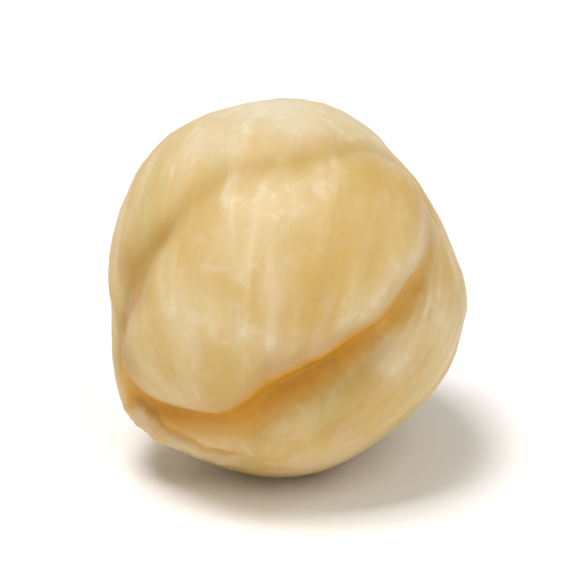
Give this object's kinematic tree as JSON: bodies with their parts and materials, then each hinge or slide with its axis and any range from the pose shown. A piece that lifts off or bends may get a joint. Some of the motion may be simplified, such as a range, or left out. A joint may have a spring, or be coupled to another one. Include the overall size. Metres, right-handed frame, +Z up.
{
  "type": "blanched hazelnut kernel",
  "caption": "Round, slightly squared nut kernel without its skin, with a deep curved fold round one seed leaf, low ribs, a blunt scarred end and a small flat spot to rest on.",
  "frame": {"origin": "on the surface that the kernel rests on, under the middle of its box", "axes": "+Z up; -Y is the side that the face looks to, the rounded back of one seed leaf, which also looks 25 degrees upwards; +X is to the right of someone who looks at the face"},
  "size_m": [0.0132, 0.0134, 0.0136],
  "materials": {
    "blanched_kernel": "cream to golden seed flesh, satin and slightly oily, mottled paler on the ridges and orange-brown in the folds"
  },
  "bodies": {
    "root": {"hazelnut_kernel": "blanched_kernel"}
  },
  "joints": []
}
